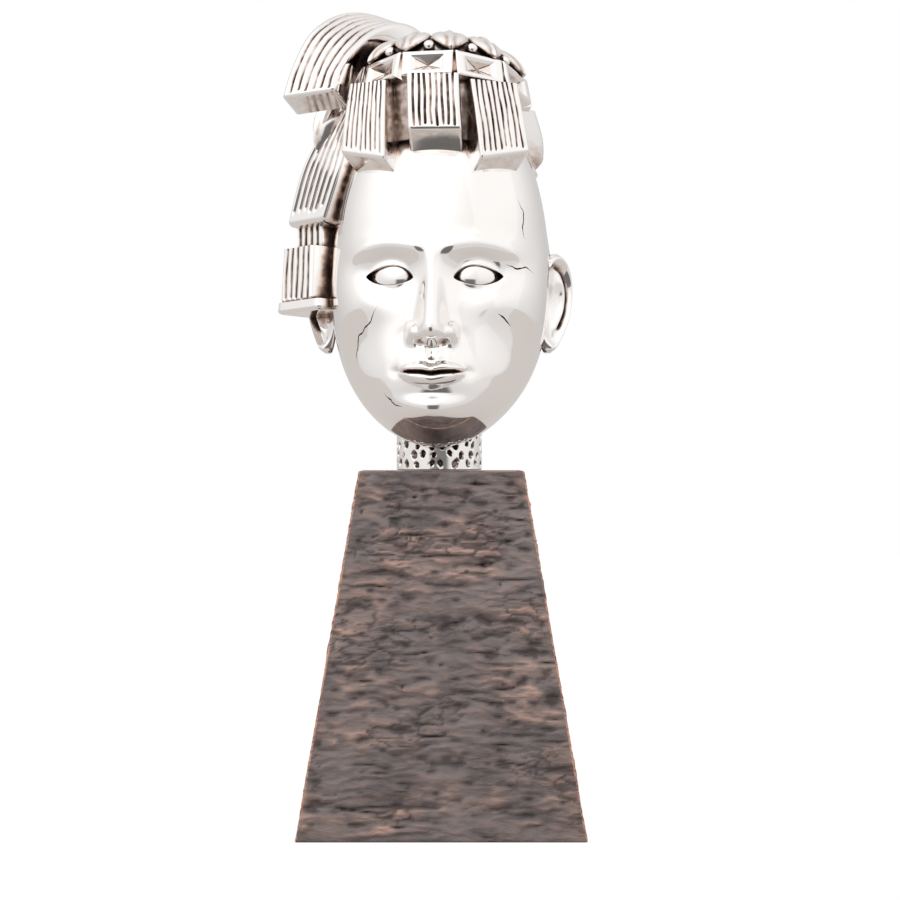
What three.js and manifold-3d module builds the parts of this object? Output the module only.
// A ruler's head of polished silver on a tapering copper pedestal.
// Millimetres, +Z up. The face looks along -Y, and the origin is the middle of the pedestal's underside.

import * as THREE from "three";
import { mergeVertices } from "three/addons/utils/BufferGeometryUtils.js";
import Module from "manifold-3d";

const wasm = await Module();
wasm.setup();

// Pedestal: a square, tapering block with hammered sides
const PEDESTAL = { base: 120.8, top: 69.4, height: 152.7, dents: 26, dentDepth: 0.9 };
const PEDESTAL_GRID = { columns: 7, rows: 11 };

// Where the head stands: its own frame has the eye line at height 0 and the face looking along -Y
const HEAD_PLACE = { x: -0.5, y: 0, z: 230.5, turn: -4, lean: -5 };

// Neck collar, in the standing frame, with rows of pits round it
const NECK = { radius: 18.2, x: -1, y: 4, foot: 153, top: 196 };
const PITS = { columns: 28, pitch: 2.2, depth: 1.2, top: 168 };

// Skull: half heights above and below the eye line, and multipliers of a round section by height share
const SKULL = { top: 92, chin: 69.5 };
const SKULL_WIDTH = [
  [-1, 46], [-0.87, 46.5], [-0.62, 47], [-0.3, 46.8], [0, 46.8], [0.3, 47], [0.6, 47.5], [1, 46],
];
const SKULL_FRONT = [
  [-1, 48], [-0.87, 50], [-0.62, 46], [-0.3, 43], [0, 43.5], [0.3, 45.5], [0.6, 47], [1, 46],
];
const SKULL_BACK = [[-1, 40], [-0.62, 46], [0, 54], [1, 54]];
const SKULL_MIDDLE = [[-1, -16], [-0.87, -15], [-0.62, -8], [-0.3, -2], [0, 0], [1, 4]];
const SKULL_COLUMNS = { count: 32, density: 8, place: 0.5, reach: 0.1 };
const SKULL_ROWS = { count: 30, density: 6, place: 0.66, reach: 0.17 };

// Face, on thirds of 38 mm: the eyes lie an eye's width apart, and the nose is as wide as an eye
const EYE = { x: 18.6, half: 9.8, upper: 4.6, lower: 3.5, ball: 15, lid: 1.3, sink: 2 };
const NOSE_HEIGHT = [
  [-31, 0], [-29.5, 4], [-28, 9.5], [-25.5, 13.2], [-22.5, 14.6], [-18, 13.6],
  [-8, 9.5], [2, 5.4], [7, 3.6], [12, 1.6], [20, 0],
];
const NOSE_HALF = [[-31, 8.6], [-27, 8], [-23, 7.2], [-17, 6.2], [-8, 5.6], [2, 5.2], [7, 5.6], [20, 8]];
const MOUTH = { z: -41.2, half: 14.6, upper: 5.2, lower: 6.4 };

// Headband: plaques round an ellipse that leans back, each tilted up a little, with a sunken pyramid
const BAND = { x: 36.6, y: 44, height: 11.8, lean: 9, tilt: 11, plaques: 10, first: -5 };
const BAND_AT = new THREE.Vector3(0, 1, 83);
const PLAQUE = { gap: 0.5, proud: 1.8, root: -5.4, frame: 4.2, frameEnd: 2.4, sink: 3.2 };

// Crown above the band: a dome with leaves, petals and beads
const DOME = { x: 31.6, y: 39.5, foot: 5, height: 16.5 };
const LEAVES = { count: 11, from: 46, length: 19, width: 15.5, thick: 2.6, droop: 4.2, lift: 0.9 };
const PETALS = { count: 7, from: 84, length: 18, width: 13.5, thick: 2.4, droop: 2.6, lift: 0.8 };
const BEAD = { radius: 2.4, at: 12, lift: 1.2, boss: 3.4 };

// Hair at the back: three tiers, each cut blunt and flaring a little over the next
const TIERS = [[80, 50], [50, 14], [14, -22]];
const CAPE = { y: 8, half: 98, grooves: 12, depth: 1.2, front: 24 };
const CAPE_WIDTH = [[-30, 34], [-10, 41.5], [10, 44.5], [40, 42], [60, 36.5], [85, 31]];
const CAPE_BACK = [[-30, 42], [-10, 49], [10, 51], [30, 50], [50, 47], [85, 36]];

const EAR = { x: 48.7, shift: -1.6, y: 9.5, z: -5.5, half: 21.8, depth: 10.8, flare: 34, lean: 8 };

const UP = new THREE.Vector3(0, 0, 1);
const { smoothstep, degToRad, clamp, lerp } = THREE.MathUtils;

function vector(x, y, z) {
  return new THREE.Vector3(x, y, z);
}

function sum(...parts) {
  return parts.reduce((total, part) => total.add(part), vector(0, 0, 0));
}

function times(v, amount) {
  return v.clone().multiplyScalar(amount);
}

function range(count) {
  return Array.from({ length: count }, (_, index) => index);
}

// Smooth curve through [place, value] pairs, flat beyond both ends
function through(pairs) {
  const slopes = pairs.map((pair, index) => {
    const before = pairs[Math.max(index - 1, 0)];
    const after = pairs[Math.min(index + 1, pairs.length - 1)];
    if (index === 0 || index === pairs.length - 1) {
      return (after[1] - before[1]) / (after[0] - before[0]);
    }
    const left = pair[0] - before[0];
    const right = after[0] - pair[0];
    const leftSlope = (pair[1] - before[1]) / left;
    const rightSlope = (after[1] - pair[1]) / right;
    return (leftSlope * right + rightSlope * left) / (left + right);
  });
  return (place) => {
    const last = pairs.length - 2;
    const found = pairs.findIndex((pair) => pair[0] > place) - 1;
    const index = found < 0 ? (place < pairs[0][0] ? 0 : last) : found;
    const [start, end] = [pairs[index], pairs[index + 1]];
    const step = end[0] - start[0];
    const t = clamp((place - start[0]) / step, 0, 1);
    const rise = t * t * (3 - 2 * t);
    const pull = step * t * (1 - t) * ((1 - t) * slopes[index] - t * slopes[index + 1]);
    return start[1] + (end[1] - start[1]) * rise + pull;
  };
}

function bump(x, z, centreX, centreZ, wideX, wideZ) {
  return Math.exp(-(((x - centreX) / wideX) ** 2) - ((z - centreZ) / wideZ) ** 2);
}

function softMax(a, b, round) {
  return 0.5 * (a + b + Math.sqrt((a - b) ** 2 + round * round));
}

// A closed geometry over rings of equal count: a cylinder's grid, moved to the rings and their two tips
function loft(rings, tips = [centre(rings[0]), centre(rings[rings.length - 1])]) {
  const sides = rings[0].length;
  const steps = rings.length - 1;
  const geometry = new THREE.CylinderGeometry(1, 1, 1, sides, steps);
  const position = geometry.attributes.position;
  for (const index of range(position.count)) {
    const [x, y, z] = [position.getX(index), position.getY(index), position.getZ(index)];
    const row = Math.round((0.5 - y) * steps);
    const turn = Math.atan2(x, z) / (2 * Math.PI);
    const column = (Math.round(turn * sides) + sides) % sides;
    const onAxis = Math.hypot(x, z) < 0.5;
    const point = onAxis ? tips[row === 0 ? 0 : 1] : rings[row][column];
    position.setXYZ(index, point.x, point.y, point.z);
  }
  return geometry;
}

function centre(ring) {
  return times(sum(...ring), 1 / ring.length);
}

function signedVolume(points, corners) {
  let total = 0;
  const at = (corner) => vector(points[3 * corner], points[3 * corner + 1], points[3 * corner + 2]);
  for (let first = 0; first < corners.length; first += 3) {
    const [a, b, c] = [at(corners[first]), at(corners[first + 1]), at(corners[first + 2])];
    total += a.dot(b.cross(c)) / 6;
  }
  return total;
}

// A closed geometry as a solid whose faces point out
function solid(geometry) {
  geometry.deleteAttribute("normal");
  geometry.deleteAttribute("uv");
  const merged = mergeVertices(geometry);
  const vertProperties = new Float32Array(merged.attributes.position.array);
  const triVerts = new Uint32Array(merged.index.array);
  if (signedVolume(vertProperties, triVerts) < 0) {
    triVerts.reverse();
  }
  return new wasm.Manifold(new wasm.Mesh({ numProp: 3, vertProperties, triVerts }));
}

function geometryOf(shape) {
  const mesh = shape.getMesh();
  const geometry = new THREE.BufferGeometry();
  geometry.setAttribute("position", new THREE.BufferAttribute(mesh.vertProperties, 3));
  geometry.setIndex(new THREE.BufferAttribute(mesh.triVerts, 1));
  geometry.computeVertexNormals();
  return geometry;
}

// Even fractions from 0 to 1, drawn together round one place
function gathered({ count, density, place, reach }) {
  const samples = 2000;
  const sums = [0];
  for (const index of range(samples)) {
    const t = (index + 0.5) / samples;
    sums.push(sums[index] + 1 + (density - 1) * Math.exp(-(((t - place) / reach) ** 2)));
  }
  return range(count + 1).map((index) => {
    const wanted = (sums[samples] * index) / count;
    const after = Math.max(sums.findIndex((value) => value >= wanted), 1);
    return (after - 1 + (wanted - sums[after - 1]) / (sums[after] - sums[after - 1])) / samples;
  });
}

// Face relief, each function giving millimetres forward of the skull at a width x and a height z
const noseHeight = through(NOSE_HEIGHT);
const noseHalf = through(NOSE_HALF);

function nose(x, z) {
  const a = Math.abs(x);
  const ridge = noseHeight(z) * Math.exp(-((a / noseHalf(z)) ** 2.3));
  const wing = 8 * Math.exp(-(Math.abs((a - 7.4) / 3.9) ** 2.4) - Math.abs((z + 24) / 4.6) ** 2.4);
  const body = softMax(ridge, wing, 2.2) - 1.1 * Math.exp(-((a / 20) ** 2));
  const wall = 3 * Math.exp(-((a / 10) ** 2)) * smoothstep(z, -33, -24) * (1 - smoothstep(z, 0, 12));
  const nostril = 3.4 * bump(a, z, 4.6, -28.4, 2.2, 1.4);
  const fold = 0.9 * bump(a, z, 11.8, -24, 1.3, 4.6);
  return softMax(body, wall, 1.6) - nostril - fold;
}

function mouth(x, z) {
  const a = Math.abs(x);
  const line = MOUTH.z + 0.0035 * a * a - 0.54 * Math.exp(-((a / 3) ** 2));
  const across = clamp(1 - (a / MOUTH.half) ** 2, 0, 1);
  const bow = 1 - 0.24 * Math.exp(-((a / 2.4) ** 2));
  const full = smoothstep(across, 0, 0.55);
  const upperHeight = MOUTH.upper * (0.3 + 0.7 * across ** 0.8) * bow;
  const lowerHeight = MOUTH.lower * (0.3 + 0.7 * clamp(1 - (a / 13.6) ** 2, 0, 1) ** 0.75);
  const upperShare = clamp((z - line) / upperHeight, 0, 1);
  const lowerShare = clamp((line - z) / lowerHeight, 0, 1);
  const upper = 2.4 * full * Math.sin(Math.PI * upperShare ** 0.75) ** 0.9;
  const lower = 3.2 * full * Math.sin(Math.PI * lowerShare ** 0.72) ** 0.9;
  const slit = 1.5 * Math.exp(-(((z - line) / 0.9) ** 2)) * (1 - smoothstep(a, 9, 16));
  const corner = 1.1 * bump(a, z, 15.4, -40.6, 2.2, 2.2);
  const barrel = 4.2 * bump(a, z, 0, -40.5, 19, 13.5);
  const between = smoothstep(z, -36.5, -34.5) * (1 - smoothstep(z, -31, -29));
  const philtrum = between * (0.45 * Math.exp(-(((a - 3.2) / 1.2) ** 2)) - 0.9 * Math.exp(-((a / 1.7) ** 2)));
  return barrel + (upper || 0) + (lower || 0) - slit - corner + philtrum;
}

function features(x, z) {
  const a = Math.abs(x);
  const browLine = 11.5 + 1.8 * Math.exp(-(((a - 20) / 10) ** 2)) - 0.006 * Math.max(a - 24, 0) ** 2;
  const browEnds = smoothstep(a, 1, 9) * (1 - smoothstep(a, 28, 42));
  const brow = 2.6 * Math.exp(-(((z - browLine) / 4.2) ** 2)) * browEnds;
  const betweenBrows = 1.2 * bump(a, z, 0, 12, 8, 6);
  const cheek = 2.6 * bump(a, z, 29, -10, 11, 9.5) - 1.4 * bump(a, z, 31, -34, 9, 12);
  const chin = 4.6 * bump(a, z, 0, -58.5, 12.5, 8.2) - 1.9 * bump(a, z, 0, -50, 11, 2.9);
  const foldEnds = smoothstep(z, -44, -36) * (1 - smoothstep(z, -26, -20));
  const fold = 0.7 * Math.exp(-(((a - (13 + 0.3 * (-24 - z))) / 2.6) ** 2)) * foldEnds;
  const temple = 1.8 * bump(a, z, 43, 16, 7, 14);
  return brow + betweenBrows + cheek + chin - fold - temple;
}

function face(x, z) {
  const e = Math.abs(x) - EYE.x;
  const h = z - 0.06 * e;
  const across = clamp(1 - (e / EYE.half) ** 2, 0, 1);
  const upper = EYE.upper * across ** 0.75 * (1 - 0.03 * e);
  const lower = -EYE.lower * across ** 0.85 * (1 + 0.015 * e);
  const socket = -6.2 * Math.exp(-(((e + 0.5) / 13.5) ** 2) - ((h - 0.6) / 8.6) ** 2);
  const calm = socket + features(x, z) + mouth(x, z);
  const skin = softMax(calm, calm + nose(x, z), 0.4);
  const away = Math.hypot(e, h - 0.3);
  const ball = Math.sqrt(Math.max(EYE.ball ** 2 - away ** 2, 1)) - EYE.ball - EYE.sink;
  const lid = Math.sqrt(Math.max((EYE.ball + EYE.lid) ** 2 - away ** 2, 1)) - EYE.ball - EYE.sink;
  const near = 1 - smoothstep(away, 10.5, 14);
  const crease = 0.6 * Math.exp(-(((h - upper - 3) / 0.85) ** 2)) * smoothstep(across, 0.02, 0.35);
  const lids = lerp(skin, softMax(skin, lid, 1.2), near) - crease;
  const open = smoothstep(upper - h, -0.5, 0.5) * smoothstep(h - lower, -0.5, 0.5);
  return lerp(lids, softMax(ball, lids - 1.5, 0.7), open * smoothstep(across, 0, 0.06));
}

function skull() {
  const width = through(SKULL_WIDTH);
  const front = through(SKULL_FRONT);
  const back = through(SKULL_BACK);
  const middle = through(SKULL_MIDDLE);
  const azimuths = gathered(SKULL_COLUMNS).slice(0, -1).map((t) => (2 * t - 1) * Math.PI);
  const falls = gathered(SKULL_ROWS).slice(1, -1).map((t) => t * Math.PI);
  const rings = falls.map((fall) => {
    const share = Math.cos(fall);
    const round = Math.sin(fall);
    const z = share * (share > 0 ? SKULL.top : SKULL.chin);
    return azimuths.map((azimuth) => {
      const ahead = Math.cos(azimuth);
      const depth = lerp(back(share), front(share), smoothstep(ahead, -1, 1));
      const x = width(share) * round * Math.sin(azimuth);
      const relief = face(x, z) * smoothstep(ahead, 0.02, 0.32);
      return vector(x, middle(share) - depth * round * ahead - relief, z);
    });
  });
  return solid(loft(rings, [vector(0, middle(1), SKULL.top), vector(0, middle(-1), -SKULL.chin)]));
}

// Moves a point of the band's own level frame into the head's frame
function inBand(point) {
  return point.clone().applyAxisAngle(vector(1, 0, 0), -degToRad(BAND.lean)).add(BAND_AT);
}

function bandWay(direction) {
  return direction.clone().applyAxisAngle(vector(1, 0, 0), -degToRad(BAND.lean)).normalize();
}

function ellipse(radiusX, radiusY, z, count) {
  return range(count).map((index) => {
    const angle = (2 * Math.PI * index) / count;
    return inBand(vector(radiusX * Math.sin(angle), -radiusY * Math.cos(angle), z));
  });
}

function dome() {
  const columns = 24;
  const steps = 4;
  const wall = [[-30, 31, 35], [-8, 34, 40.5], [DOME.foot, DOME.x, DOME.y]];
  const rings = wall.map(([z, radiusX, radiusY]) => ellipse(radiusX, radiusY, z, columns));
  for (const index of range(steps - 1)) {
    const rise = degToRad((90 * (index + 1)) / steps);
    const z = DOME.foot + DOME.height * Math.sin(rise);
    rings.push(ellipse(DOME.x * Math.cos(rise), DOME.y * Math.cos(rise), z, columns));
  }
  const tips = [centre(rings[0]), inBand(vector(0, 0, DOME.foot + DOME.height))];
  return solid(loft(rings, tips));
}

function bandPoint(azimuth) {
  return vector(BAND.x * Math.sin(degToRad(azimuth)), -BAND.y * Math.cos(degToRad(azimuth)), 0);
}

function plaque(from, to) {
  const [start, end] = [bandPoint(from), bandPoint(to)];
  const across = end.clone().sub(start).normalize();
  const middle = start.clone().add(end).multiplyScalar(0.5);
  const level = across.clone().cross(UP);
  const tilt = degToRad(BAND.tilt);
  const out = sum(times(level, Math.cos(tilt)), times(UP, Math.sin(tilt)));
  const up = sum(times(UP, Math.cos(tilt)), times(level, -Math.sin(tilt)));
  const half = start.distanceTo(end) / 2 - PLAQUE.gap;
  const high = BAND.height / 2;
  const face = PLAQUE.proud;
  const outlines = [
    [half, high, PLAQUE.root],
    [half, high, face - 1.1],
    [half - 0.7, high - 0.7, face],
    [half - PLAQUE.frame, high - PLAQUE.frameEnd, face],
  ];
  const place = (x, z, o) => inBand(sum(middle, times(across, x), times(up, z), times(out, o)));
  const corners = [[-1, -1], [1, -1], [1, 1], [-1, 1]];
  const rings = outlines.map(([x, z, o]) => corners.map(([left, low]) => place(x * left, z * low, o)));
  return solid(loft(rings, [place(0, 0, PLAQUE.root), place(0, 0, face - PLAQUE.sink)]));
}

// A place on the dome, its outward way and its way down, by azimuth from the front and elevation
function onDome(azimuth, elevation, lift = 0) {
  const [a, e] = [degToRad(azimuth), degToRad(elevation)];
  const flat = vector(DOME.x * Math.sin(a), -DOME.y * Math.cos(a), 0);
  const point = sum(times(flat, Math.cos(e)), vector(0, 0, DOME.foot + DOME.height * Math.sin(e)));
  const out = vector(point.x / DOME.x ** 2, point.y / DOME.y ** 2, (point.z - DOME.foot) / DOME.height ** 2);
  const down = sum(times(flat, Math.sin(e)), vector(0, 0, -DOME.height * Math.cos(e)));
  const lifted = sum(point, times(out.normalize(), lift));
  return { point: inBand(lifted), out: bandWay(out), down: bandWay(down) };
}

// A pointed leaf lying along a way and bent inward, with its root at a point
function leaf(root, way, out, { length, width, thick, droop }, sides = 5) {
  const steps = 4;
  const along = way.clone().normalize();
  const up = out.clone().addScaledVector(along, -out.dot(along)).normalize();
  const side = along.clone().cross(up);
  const rings = range(steps).map((index) => {
    const t = 0.06 + (0.94 * index) / (steps - 1);
    const half = (width / 2) * Math.sin(Math.PI * t ** 0.75) ** 0.8 || 0;
    const high = thick * (0.2 + 0.8 * Math.sin(Math.PI * (0.12 + 0.88 * t)) ** 0.6 || 0.2);
    return range(sides).map((corner) => {
      const angle = Math.PI / 2 + (2 * Math.PI * corner) / sides;
      const across = times(side, (half + 0.2) * Math.cos(angle));
      return sum(root, times(along, length * t), across, times(up, high * Math.sin(angle) - droop * t * t));
    });
  });
  return solid(loft(rings));
}

function bead(point, radius) {
  const geometry = new THREE.SphereGeometry(radius, 6, 4);
  geometry.translate(point.x, point.y, point.z);
  return solid(geometry);
}

function crownTrim() {
  const trim = [];
  for (const index of range(LEAVES.count)) {
    const azimuth = BAND.first + (360 / LEAVES.count) * (index + 0.5);
    const start = onDome(azimuth, LEAVES.from, LEAVES.lift);
    trim.push(leaf(start.point, start.down, start.out, LEAVES));
    trim.push(bead(onDome(azimuth + 180 / LEAVES.count, BEAD.at, BEAD.lift).point, BEAD.radius));
  }
  for (const index of range(PETALS.count)) {
    const start = onDome((360 / PETALS.count) * index, PETALS.from, PETALS.lift);
    trim.push(leaf(start.point, start.down, start.out, PETALS));
  }
  trim.push(bead(onDome(0, 90).point, BEAD.boss));
  return trim;
}

// Points of a grooved face from edge to edge: place as a share of the width, and share of the groove's depth
function grooves(count, margin) {
  const phases = [[0.26, 0], [0.5, 1], [0.74, 0]];
  const pitch = (1 - 2 * margin) / count;
  return range(count).flatMap((index) =>
    phases.map(([phase, cut]) => ({ place: margin - 0.5 + pitch * (index + phase), cut })),
  );
}

// A bundle of hair through stations of centre, across way, outward way, width and thickness.
// Its face is grooved and its end is cut blunt: slant draws the end's inner side on, slope one edge of it.
function lock(stations, count, steps, options) {
  const { inner = 8, edge = 1, depth = 1.1, stop = 1.8, slant = 0, slope = 0 } = options;
  const share = (index) => index / (stations.length - 1);
  const number = (key) => through(stations.map((station, index) => [share(index), station[key]]));
  const triple = (key) => {
    const parts = [0, 1, 2].map((axis) =>
      through(stations.map((station, index) => [share(index), station[key][axis]])),
    );
    return (t) => vector(...parts.map((part) => part(t)));
  };
  const [centreAt, acrossAt, outAt] = [triple("at"), triple("across"), triple("out")];
  const [widthAt, thickAt] = [number("width"), number("thick")];
  const legs = range(stations.length - 1).map((index) =>
    vector(...stations[index].at).distanceTo(vector(...stations[index + 1].at)),
  );
  const length = legs.reduce((total, leg) => total + leg, 0);
  const last = 1 - (stop + 0.9) / length;
  const cuts = range(steps).map((index) => ({ t: (last * index) / (steps - 1), cut: 1, inset: 0 }));
  cuts.push({ t: 1 - stop / length, cut: 0, inset: 0 }, { t: 1, cut: 0, inset: 0.35 * edge });
  const points = grooves(count, 0.06);
  const rings = cuts.map(({ t, cut, inset }) => {
    const across = acrossAt(t).normalize();
    const raw = outAt(t).normalize();
    const out = raw.clone().addScaledVector(across, -raw.dot(across)).normalize();
    const step = 0.001;
    const way = centreAt(Math.min(t + step, 1)).sub(centreAt(Math.max(t - step, 0)));
    way.addScaledVector(out, -way.dot(out)).addScaledVector(across, -way.dot(across)).normalize();
    const width = widthAt(t) - 2 * inset;
    const high = thickAt(t) - inset;
    const side = width / 2;
    const outline = [
      [-side, -inner],
      [-side, high - edge],
      [-side + 0.3 * edge, high - 0.3 * edge],
      ...points.map((point) => [point.place * width, high - point.cut * cut * depth]),
      [side - 0.3 * edge, high - 0.3 * edge],
      [side, high - edge],
      [side, -inner],
    ];
    return outline.map(([a, o]) => {
      const reach = (slant * (1 - o / high) + (slope * a) / width) * t * t;
      return sum(centreAt(t), times(across, a), times(out, o), times(way, reach));
    });
  });
  return solid(loft(rings));
}

function station(at, across, out, width, thick) {
  return { at, across, out, width, thick };
}

function fringe() {
  const middle = [
    station([-0.6, -37, 85], [1, 0, 0], [0, -1, 0], 21.8, 7.5),
    station([0, -37.5, 71], [1, 0, 0], [0, -1, 0], 22, 8.6),
    station([0.6, -37.5, 61.5], [1, 0, 0], [0, -1, -0.04], 22.4, 9),
  ];
  const locks = [lock(middle, 8, 2, { slant: 7 })];
  const sides = [
    { side: -1, places: [25.5, 25.8, 26.2], widths: [18.5, 20.5, 22.3] },
    { side: 1, places: [21.2, 23, 25.3], widths: [22, 22.3, 22.6] },
  ];
  for (const { side, places, widths } of sides) {
    const across = [0.866, 0.5 * side, 0];
    const out = [0.5 * side, -0.866, 0];
    const beside = [[83, 7], [69, 8.4], [51.5, 9]].map(([z, thick], index) =>
      station([places[index] * side, -29.5, z], across, out, widths[index], thick),
    );
    locks.push(lock(beside, 8, 2, { slant: 5.5, slope: -4.5 * side }));
  }
  return locks;
}

function crest() {
  const stations = [
    station([2, 36, 93], [0.15, -0.95, 0.3], [-0.2, 0.3, 0.95], 16, 8),
    station([-12, 20, 108], [0.25, -0.93, -0.1], [-0.35, -0.2, 0.92], 19, 9),
    station([-29, 4, 110], [0.62, -0.62, -0.46], [-0.35, -0.66, 0.66], 22, 10.3),
    station([-42, -12, 102], [0.88, -0.25, -0.36], [-0.35, -0.8, 0.45], 23, 10),
    station([-48, -22, 89], [0.93, -0.3, -0.1], [-0.3, -0.93, 0.2], 23.4, 9.5),
    station([-51.2, -25, 77.5], [0.94, -0.3, 0.08], [-0.3, -0.95, 0.1], 24.5, 9.5),
  ];
  const bundle = lock(stations, 6, 9, { inner: 5, edge: 1.8, depth: 1.5, stop: 2.6, slant: 2.4 });
  const size = { length: 30, width: 17, thick: 9, droop: 0 };
  const roll = leaf(vector(-41, 4, 86), vector(-0.35, -0.2, -0.9), vector(-0.8, -0.6, 0), size, 8);
  return [bundle, roll];
}

// Bundles that hang at the left: a slanting one, a tied neck, and a hanging one with a blunt end piece
function leftLocks() {
  const across = [0.72, -0.69, 0];
  const out = [-0.69, -0.72, 0];
  const slanting = [
    station([-35, 0, 75], across, [-0.69, -0.72, 0.12], 16, 9),
    station([-41, -1, 62], across, [-0.69, -0.72, 0.12], 22, 9),
    station([-46, -1, 48], across, [-0.69, -0.72, 0.12], 26, 9),
    station([-52.2, 2, 26.5], across, [-0.69, -0.72, 0.12], 24, 9),
  ];
  const tie = [station([-54.5, 6, 30], across, out, 17, 4), station([-54.5, 6, 14], across, out, 17, 4)];
  const hanging = [
    station([-55.6, 5, 18], across, out, 20, 8.4),
    station([-55.6, 5, -6], across, out, 21, 9.4),
  ];
  const end = [
    station([-53.2, 3.5, -5.5], across, out, 27, 11),
    station([-53.2, 3.5, -10.5], across, out, 28, 11.5),
  ];
  return [
    lock(slanting, 6, 4, { inner: 12, edge: 1.8, depth: 1.6, stop: 4 }),
    lock(tie, 4, 2, { inner: 12, edge: 1.8, depth: 3, stop: 0.5 }),
    lock(hanging, 5, 2, { inner: 12, edge: 1.8, depth: 2.6, stop: 1 }),
    lock(end, 1, 2, { inner: 12, edge: 1.8, depth: 0, stop: 1 }),
  ];
}

function rightLock() {
  const across = [0.5, 0.86, 0];
  const out = [0.86, -0.5, 0];
  const stations = [
    station([28, 4, 78], across, out, 22, 8),
    station([30, 6, 66], across, out, 24, 9),
    station([31, 6, 56], across, out, 24, 8),
  ];
  return lock(stations, 1, 3, { inner: 12, edge: 2, depth: 0, slant: 6 });
}

function cape() {
  const width = through(CAPE_WIDTH);
  const back = through(CAPE_BACK);
  const points = grooves(CAPE.grooves, 0);
  const hidden = 5;
  const profile = [[0, 0.6, -1.5], [0.95, 1, 1.9], [1, 0, 1.2]];
  const rings = TIERS.flatMap(([top, foot]) =>
    profile.map(([share, cut, flare]) => {
      const z = lerp(top, foot, share);
      const grooved = points.map((point) => {
        const azimuth = 2 * CAPE.half * point.place;
        const fade = 1 - smoothstep(Math.abs(azimuth), 86, CAPE.half);
        const grow = (flare - CAPE.depth * point.cut * cut) * fade;
        const a = degToRad(azimuth);
        return vector((width(z) + grow) * Math.sin(a), CAPE.y + (back(z) + grow) * Math.cos(a), z);
      });
      const inside = range(hidden).map((index) => {
        const a = degToRad(lerp(CAPE.half + 14, 346 - CAPE.half, index / (hidden - 1)));
        return vector((width(z) - 3) * Math.sin(a), CAPE.y + CAPE.front * Math.cos(a), z);
      });
      return [...grooved, ...inside];
    }),
  );
  return solid(loft(rings));
}

function ear(side) {
  const [flare, lean] = [degToRad(EAR.flare), degToRad(EAR.lean)];
  const rear = vector(side * Math.sin(flare), Math.cos(flare), 0);
  const out = vector(side * Math.cos(flare), -Math.sin(flare), 0);
  const up = sum(times(UP, Math.cos(lean)), times(rear, Math.sin(lean))).normalize();
  rear.addScaledVector(up, -rear.dot(up)).normalize();
  const middle = vector(side * EAR.x + EAR.shift, EAR.y, EAR.z);
  const point = (share, angle, behind) => {
    const lobe = 1 - 0.24 * smoothstep(-Math.sin(angle), 0.1, 1);
    const y = EAR.depth * (1 + 0.16 * Math.sin(angle)) * lobe * share * Math.cos(angle);
    const z = EAR.half * share * Math.sin(angle);
    const rimPart = smoothstep(Math.cos(angle) + 0.35 * Math.sin(angle), -1, -0.35);
    const rim = 2.6 * Math.exp(-(((share - 0.9) / 0.11) ** 2)) * rimPart;
    const fold = 1.8 * Math.exp(-(((share - 0.56) / 0.12) ** 2)) * smoothstep(Math.cos(angle), -0.2, 0.5);
    const bowl = 3.2 * bump(y, z, -2.5, -1, 4.5, 7);
    const outer = 0.8 + rim + fold - bowl - smoothstep(share, 0.93, 1);
    const inner = -3 * (1 - share ** 2) - 1.2;
    return sum(middle, times(rear, y), times(up, z), times(out, behind ? inner : outer));
  };
  const shares = [0.15, 0.42, 0.6, 0.74, 0.88, 1];
  const angles = range(14).map((index) => (2 * Math.PI * index) / 14);
  const outerRings = shares.map((share) => angles.map((angle) => point(share, angle, false)));
  const innerRings = [1, 0.5].map((share) => angles.map((angle) => point(share, angle, true)));
  return solid(loft([...outerRings, ...innerRings]));
}

// The collar: a round grid whose every other point below the jaw is pushed in, row by row in turn
function neck() {
  const heights = [NECK.foot];
  while (heights[heights.length - 1] < PITS.top) {
    heights.push(heights[heights.length - 1] + PITS.pitch);
  }
  heights.push(NECK.top);
  const rings = heights.map((z, row) =>
    range(PITS.columns).map((column) => {
      const angle = (2 * Math.PI * column) / PITS.columns;
      const pitted = row % 2 === 1 && row < heights.length - 1 && (column + (row - 1) / 2) % 2 === 0;
      const radius = NECK.radius - (pitted ? PITS.depth : 0);
      return vector(NECK.x + radius * Math.cos(angle), NECK.y + radius * Math.sin(angle), z);
    }),
  );
  return solid(loft(rings));
}

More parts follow.
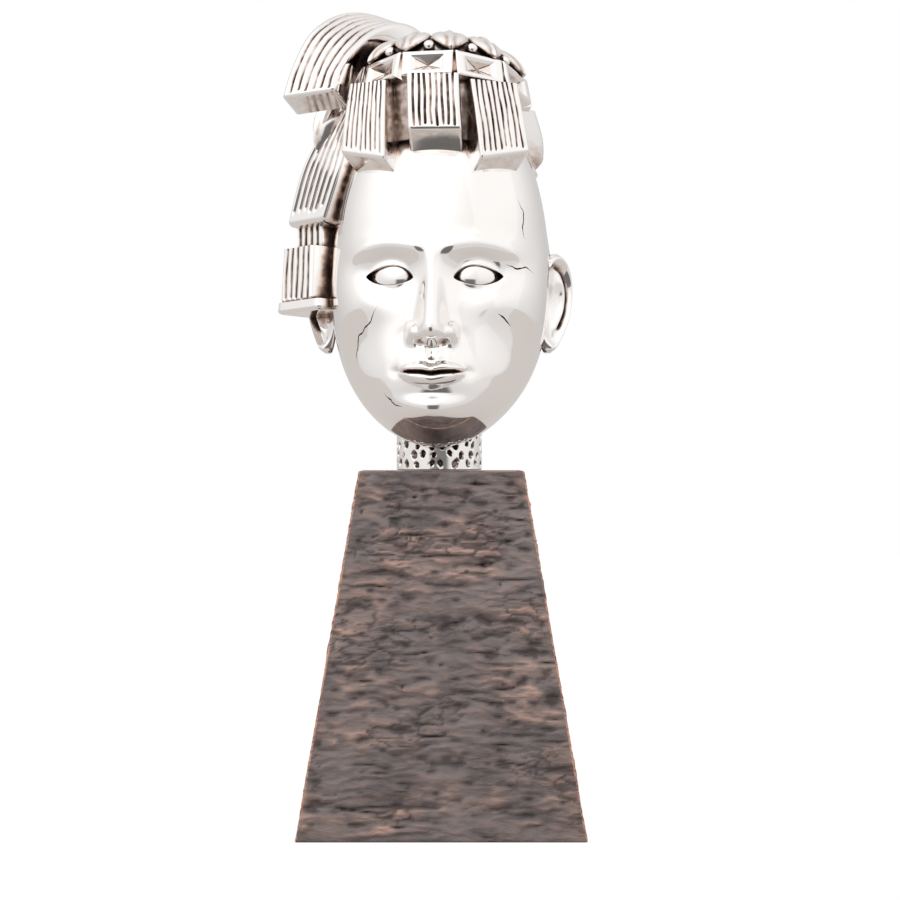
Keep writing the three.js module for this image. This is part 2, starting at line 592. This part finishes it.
function head() {
  const pieces = [dome(), ...crownTrim(), ...fringe(), ...crest(), ...leftLocks(), rightLock()];
  for (const index of range(BAND.plaques)) {
    const step = 360 / BAND.plaques;
    pieces.push(plaque(BAND.first + step * (index - 0.5), BAND.first + step * (index + 0.5)));
  }
  pieces.push(cape(), ear(-1), ear(1));
  const whole = pieces.reduce((joined, piece) => joined.add(piece), skull());
  const place = new THREE.Matrix4().makeRotationZ(degToRad(HEAD_PLACE.turn));
  place.multiply(new THREE.Matrix4().makeRotationX(degToRad(HEAD_PLACE.lean)));
  place.setPosition(HEAD_PLACE.x, HEAD_PLACE.y, HEAD_PLACE.z);
  const geometry = geometryOf(whole).applyMatrix4(place);
  geometry.deleteAttribute("normal");
  const standing = new wasm.Mesh({
    numProp: 3,
    vertProperties: geometry.attributes.position.array,
    triVerts: geometry.index.array,
  });
  return geometryOf(new wasm.Manifold(standing).add(neck()));
}

// A fraction between 0 and 1 that depends only on two whole numbers
function scatter(index, salt) {
  const value = Math.sin(index * 12.9898 + salt * 78.233) * 43758.5453;
  return value - Math.floor(value);
}

// Depth of the hammered dents on one side of the pedestal, by place across and up
function dents(side, across, up) {
  let deep = 0;
  for (const index of range(PEDESTAL.dents)) {
    const salt = side * 7;
    const x = 2 * scatter(index, salt + 1) - 1;
    const z = scatter(index, salt + 2);
    const wide = 0.12 + 0.16 * scatter(index, salt + 3);
    const share = bump(across, up, x, z, wide, 0.035);
    deep += PEDESTAL.dentDepth * (0.4 + 0.6 * scatter(index, salt + 4)) * share;
  }
  const fromEnds = smoothstep(up, 0, 0.06) * (1 - smoothstep(up, 0.94, 1));
  const fromCorners = 1 - smoothstep(Math.abs(across), 0.8, 1);
  return Math.min(deep, 1.4 * PEDESTAL.dentDepth) * fromEnds * fromCorners;
}

function pedestal() {
  const { columns, rows } = PEDESTAL_GRID;
  const rings = range(rows + 1).map((row) => {
    const up = row / rows;
    const half = lerp(PEDESTAL.base, PEDESTAL.top, up) / 2;
    return range(4 * columns).map((index) => {
      const side = Math.floor(index / columns);
      const across = (2 * (index % columns)) / columns - 1;
      const point = vector(half * across, -half + dents(side, across, up), PEDESTAL.height * up);
      return point.applyAxisAngle(UP, (side * Math.PI) / 2);
    });
  });
  return geometryOf(solid(loft(rings)));
}

const SILVER = new THREE.MeshStandardMaterial({ color: 0xe9e4e0, roughness: 0.1, metalness: 1 });
const COPPER = new THREE.MeshStandardMaterial({ color: 0x6e625e, roughness: 0.55, metalness: 0.7 });

function named(name, geometry, material) {
  const mesh = new THREE.Mesh(geometry, material);
  mesh.name = name;
  return mesh;
}

const sculpture = new THREE.Group();
sculpture.add(named("copper_pedestal", pedestal(), COPPER), named("silver_head", head(), SILVER));

export default sculpture;
